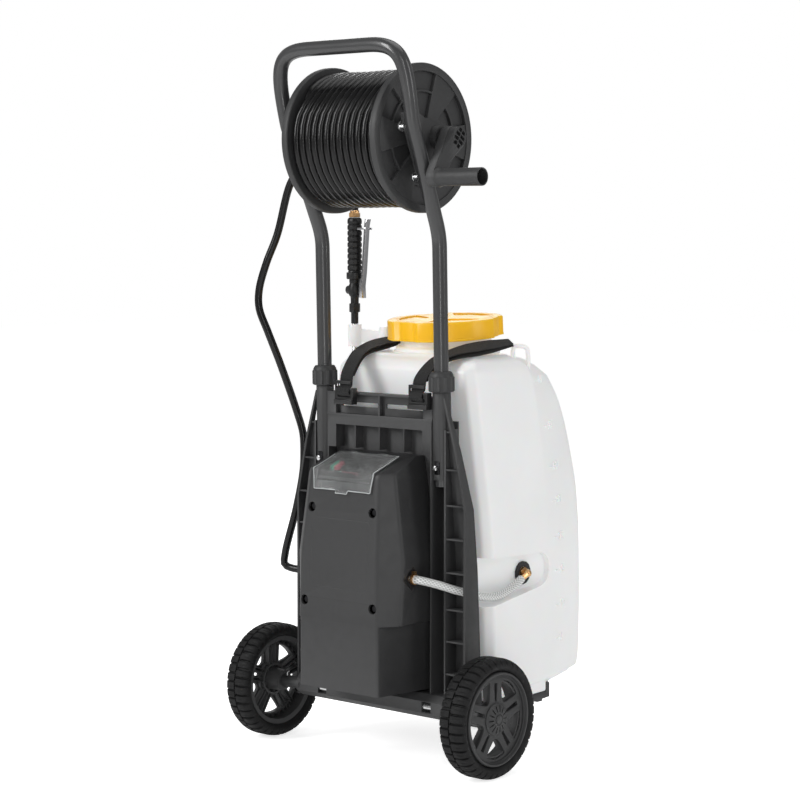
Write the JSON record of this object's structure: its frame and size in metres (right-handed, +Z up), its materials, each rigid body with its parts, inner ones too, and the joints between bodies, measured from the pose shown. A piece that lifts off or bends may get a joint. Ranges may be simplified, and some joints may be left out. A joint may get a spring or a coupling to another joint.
{
  "type": "wheeled sprayer cart",
  "caption": "Wheeled battery sprayer cart with a translucent tank, moulded back frame and pump box, telescoping tube handle with a crank hose reel, and a clipped spray lance.",
  "frame": {"origin": "centre of the footprint box, on the ground", "axes": "+Z up, +X towards the reel's crank, +Y from the handle towards the tank"},
  "size_m": [0.481, 0.4714, 1.0772],
  "materials": {
    "frame_plastic": "fine satin grain",
    "black_plastic": "satin",
    "tyre_rubber": "matt",
    "seal_rubber": "matt",
    "handle_paint": "satin powder coat",
    "bright_steel": "bright",
    "brass": "bright",
    "tank_plastic": "translucent natural",
    "lid_plastic": "satin",
    "clear_plastic": "clear",
    "hose_pvc": "satin",
    "webbing": "woven",
    "battery_case": "satin",
    "switch_plastic": "gloss",
    "shelf_plastic": "satin"
  },
  "bodies": {
    "cart": {"back_frame": "frame_plastic", "tank_shelf": "shelf_plastic", "stand_leg": "handle_paint", "axle": "bright_steel", "tank": "tank_plastic", "lance_clip": "tank_plastic", "tank_strap_left": "webbing", "tank_strap_right": "webbing", "strap_buckle_left": "black_plastic", "strap_buckle_right": "black_plastic", "pump_box": "frame_plastic", "box_screw_1": "bright_steel", "box_screw_2": "bright_steel", "box_screw_3": "bright_steel", "box_screw_4": "bright_steel", "battery": "battery_case", "pump_head": "black_plastic", "pump_motor": "bright_steel", "control_panel": "black_plastic", "suction_fitting": "brass", "outlet_fitting": "brass", "suction_hose": "clear_plastic", "tank_elbow": "brass", "port_gasket": "seal_rubber", "delivery_hose": "hose_pvc", "gun_hose": "hose_pvc"},
    "wheel_right": {"tyre_right": "tyre_rubber", "rim_right": "frame_plastic", "hub_cap_right": "frame_plastic"},
    "wheel_left": {"tyre_left": "tyre_rubber", "rim_left": "frame_plastic", "hub_cap_left": "frame_plastic"},
    "handle": {"handle_tube": "handle_paint", "reel_bracket_left": "frame_plastic", "reel_bracket_right": "frame_plastic", "bracket_bolt_high_left": "bright_steel", "bracket_bolt_high_right": "bright_steel", "bracket_bolt_low_left": "bright_steel", "bracket_bolt_low_right": "bright_steel", "swivel_elbow": "brass"},
    "reel": {"reel_drum": "frame_plastic", "wound_hose": "hose_pvc", "crank_arm": "frame_plastic"},
    "crank_grip": {"crank_grip": "frame_plastic"},
    "collar_right": {"lock_collar_right": "frame_plastic"},
    "collar_left": {"lock_collar_left": "frame_plastic"},
    "pin_right": {"lock_pin_right": "bright_steel"},
    "pin_left": {"lock_pin_left": "bright_steel"},
    "strainer": {"mouth_strainer": "tank_plastic"},
    "seal": {"lid_seal": "seal_rubber"},
    "lid": {"lid": "lid_plastic"},
    "cover": {"clear_cover": "clear_plastic"},
    "switch": {"rocker_switch": "switch_plastic"},
    "knob": {"pressure_knob": "black_plastic"},
    "gun": {"gun_body": "black_plastic", "hose_nut": "brass", "lance_pipe": "bright_steel", "spray_nozzle": "brass"},
    "trigger": {"gun_lever": "bright_steel"},
    "trigger_lock": {"lever_lock": "bright_steel"}
  },
  "joints": [
    {"name": "wheel_right_spin", "type": "hinge", "parent": "cart", "child": "wheel_right", "pos_m": [0.2173, -0.12835, 0.089], "axis": [1, 0, 0], "continuous": true},
    {"name": "wheel_left_spin", "type": "hinge", "parent": "cart", "child": "wheel_left", "pos_m": [-0.2173, -0.12835, 0.089], "axis": [1, 0, 0], "continuous": true},
    {"name": "handle_slide", "type": "slide", "parent": "cart", "child": "handle", "axis": [0, -0.024, 0.9997], "range_m": [-0.17, 0]},
    {"name": "reel_spin", "type": "hinge", "parent": "handle", "child": "reel", "pos_m": [0, -0.12565, 0.934], "axis": [1, 0, 0], "continuous": true},
    {"name": "crank_grip_spin", "type": "hinge", "parent": "reel", "child": "crank_grip", "pos_m": [0.19, -0.16135, 0.875], "axis": [1, 0, 0], "continuous": true},
    {"name": "collar_right_twist", "type": "hinge", "parent": "cart", "child": "collar_right", "pos_m": [0.1177, -0.1152, 0.575], "axis": [0, -0.024, 0.9997], "range_deg": [0, 60]},
    {"name": "collar_left_twist", "type": "hinge", "parent": "cart", "child": "collar_left", "pos_m": [-0.1177, -0.1152, 0.575], "axis": [0, -0.024, 0.9997], "range_deg": [0, 60]},
    {"name": "pin_right_pull", "type": "slide", "parent": "cart", "child": "pin_right", "axis": [0, -1, 0], "range_m": [0, 0.005], "stiffness_N_per_m": 400},
    {"name": "pin_left_pull", "type": "slide", "parent": "cart", "child": "pin_left", "axis": [0, -1, 0], "range_m": [0, 0.005], "stiffness_N_per_m": 400},
    {"name": "strainer_lift", "type": "slide", "parent": "cart", "child": "strainer", "axis": [0, -0.0611, 0.9981], "range_m": [0, 0.08]},
    {"name": "lid_lift", "type": "slide", "parent": "strainer", "child": "seal", "axis": [0, -0.0611, 0.9981], "range_m": [0, 0.05]},
    {"name": "lid_turn", "type": "hinge", "parent": "seal", "child": "lid", "pos_m": [0, 0.03365, 0.655], "axis": [0, -0.0611, 0.9981], "range_deg": [0, 120]},
    {"name": "cover_hinge", "type": "hinge", "parent": "cart", "child": "cover", "pos_m": [0, -0.14385, 0.463], "axis": [-1, 0, 0], "range_deg": [0, 95]},
    {"name": "switch_rock", "type": "hinge", "parent": "cart", "child": "switch", "pos_m": [-0.034, -0.17605, 0.44425], "axis": [1, 0, 0], "range_deg": [-8, 8]},
    {"name": "knob_turn", "type": "hinge", "parent": "cart", "child": "knob", "pos_m": [-0.004, -0.17461, 0.44117], "axis": [0, -0.4239, 0.9057], "range_deg": [-135, 135]},
    {"name": "gun_unclip", "type": "slide", "parent": "cart", "child": "gun", "axis": [-1, 0, 0], "range_m": [0, 0.06]},
    {"name": "trigger_squeeze", "type": "hinge", "parent": "gun", "child": "trigger", "pos_m": [-0.1605, 0.01765, 0.703], "axis": [0, -1, 0], "range_deg": [0, 5.5], "stiffness_Nm_per_rad": 1.5, "springref_deg": -5.73},
    {"name": "trigger_lock_swing", "type": "hinge", "parent": "gun", "child": "trigger_lock", "pos_m": [-0.1629, 0.01765, 0.80075], "axis": [0, 1, 0], "range_deg": [0, 70]}
  ]
}
